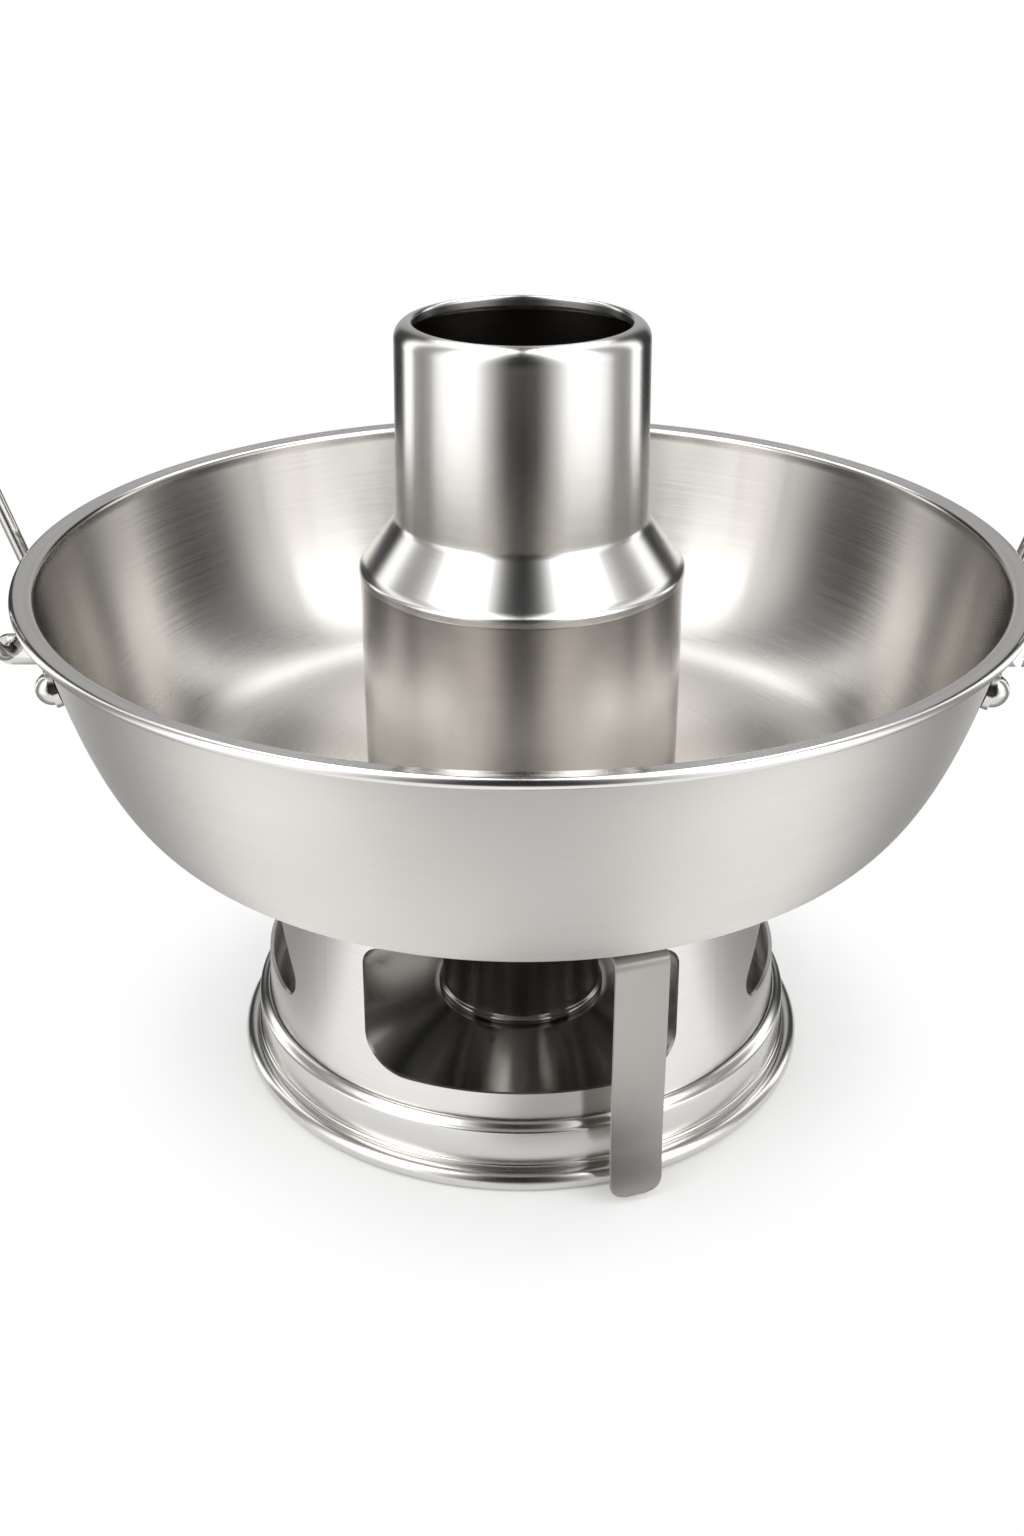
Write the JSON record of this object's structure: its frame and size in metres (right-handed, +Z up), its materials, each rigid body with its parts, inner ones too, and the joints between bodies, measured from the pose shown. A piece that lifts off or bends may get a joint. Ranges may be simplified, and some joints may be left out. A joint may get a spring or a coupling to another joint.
{
  "type": "chimney hot pot",
  "caption": "Stainless hot pot: a moat bowl round a fire tube with a stepped chimney, swinging side handles, a windowed stand and a spirit burner with a turning regulator strap.",
  "frame": {"origin": "on the table, under the axis of the fire tube and chimney", "axes": "+Z up along the chimney's axis, +X towards the right handle, -Y towards the front window and the regulator strap"},
  "size_m": [0.3652, 0.32, 0.2525],
  "materials": {
    "bowl_steel": "satin brushed",
    "tube_steel": "brushed",
    "chimney_steel": "bright brushed",
    "grate_steel": "dull, heat-darkened",
    "stand_steel": "bright",
    "pan_steel": "bright",
    "burner_steel": "polished",
    "strap_steel": "brushed along its length",
    "fitting_steel": "polished"
  },
  "bodies": {
    "pot": {"bowl": "bowl_steel", "fire_tube": "tube_steel", "chimney": "chimney_steel", "fire_grate": "grate_steel", "stand_wall": "stand_steel", "base_skirt": "stand_steel", "base_pan": "pan_steel", "burner_cup": "burner_steel", "burner_top": "burner_steel", "left_front_ear": "fitting_steel", "left_rear_ear": "fitting_steel", "right_front_ear": "fitting_steel", "right_rear_ear": "fitting_steel", "ear_rivets": "fitting_steel"},
    "regulator": {"regulator_ring": "strap_steel", "regulator_strap": "strap_steel", "regulator_rivets": "fitting_steel"},
    "left_bail": {"left_handle": "fitting_steel"},
    "right_bail": {"right_handle": "fitting_steel"}
  },
  "joints": [
    {"name": "left_handle_swing", "type": "hinge", "parent": "pot", "child": "left_bail", "pos_m": [-0.1635, 0, 0.151], "axis": [0, -1, 0], "range_deg": [-23, 157]},
    {"name": "right_handle_swing", "type": "hinge", "parent": "pot", "child": "right_bail", "pos_m": [0.1635, 0, 0.151], "axis": [0, 1, 0], "range_deg": [-23, 157]},
    {"name": "regulator_turn", "type": "hinge", "parent": "pot", "child": "regulator", "pos_m": [0, 0, 0.0875], "axis": [0, 0, 1], "range_deg": [-39, 0]}
  ]
}
